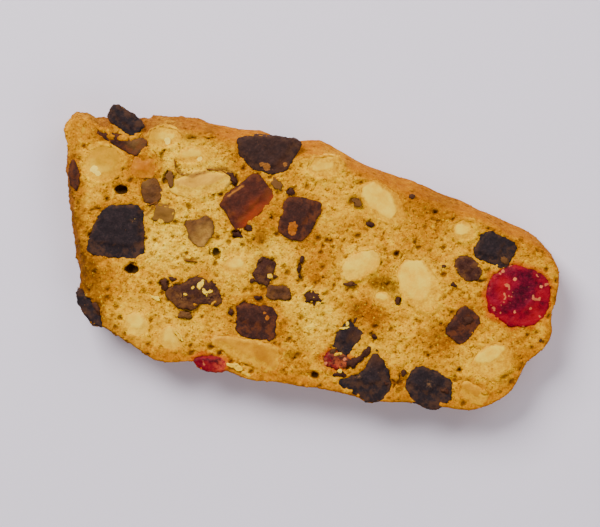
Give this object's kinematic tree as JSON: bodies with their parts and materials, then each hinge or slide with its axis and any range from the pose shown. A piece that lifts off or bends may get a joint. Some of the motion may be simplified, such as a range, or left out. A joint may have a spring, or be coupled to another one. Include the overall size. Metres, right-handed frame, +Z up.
{
  "type": "fruit and nut slice cookie",
  "caption": "Crisp oblong slice of fruit and nut loaf, baked golden, with prunes, dates, pale nuts, candied peel and cherry cut flush in both faces and a browned crust round its edge.",
  "frame": {"origin": "on the table under the middle of the slice's outline, as it lies on one cut face", "axes": "+X along the slice, +Y across it towards its longer crust edge, +Z up through its thickness to the upper cut face"},
  "size_m": [0.102, 0.0496, 0.0081],
  "materials": {
    "crumb": "dry baked crumb, golden and open-pored on the cut faces, browned orange at the crust",
    "nut": "smooth pale ivory nut, lightly toasted and faintly waxy where cut",
    "walnut": "dull beige nut flesh with a thin brown skin line",
    "prune": "almost black dried fruit, finely wrinkled with a soft sheen",
    "date": "dark red-brown sticky fruit, amber where thin",
    "raisin": "brown wrinkled fruit, slightly translucent",
    "orange_peel": "candied peel, orange and glassy",
    "yellow_peel": "candied fruit, bright yellow and glassy",
    "cherry": "glossy crimson candied cherry with pale sugar specks"
  },
  "bodies": {
    "root": {"crumb": "crumb", "nut_corner": "nut", "nut_left": "nut", "nut_top_left": "nut", "nut_upper": "nut", "nut_under_hump": "nut", "nut_long": "nut", "nut_middle": "nut", "nut_right": "nut", "nut_low_left": "nut", "nut_low": "nut", "nut_small": "nut", "nut_center": "nut", "walnut": "walnut", "walnut_bit": "walnut", "prune_top_left": "prune", "prune_big": "prune", "prune_top": "prune", "prune_low": "prune", "prune_low_right": "prune", "prune_bit": "prune", "date_curl": "date", "date_amber": "date", "date_tan": "date", "date_square": "date", "raisin_upper": "raisin", "raisin_long": "raisin", "fruit_heart": "raisin", "raisin_shard": "raisin", "raisin_sliver": "raisin", "peel_left": "date", "skin_corner": "prune", "candied_orange": "orange_peel", "candied_strip": "yellow_peel", "cherry_edge": "cherry", "cherry_bit": "cherry", "cherry_end": "cherry", "prune_end": "prune", "date_end": "date", "nut_end": "nut", "nut_end_small": "nut", "raisin_end": "raisin", "peel_end": "yellow_peel", "cherry_under": "cherry", "walnut_under": "walnut", "nut_under": "nut", "date_under": "date", "peel_under": "orange_peel"}
  },
  "joints": []
}
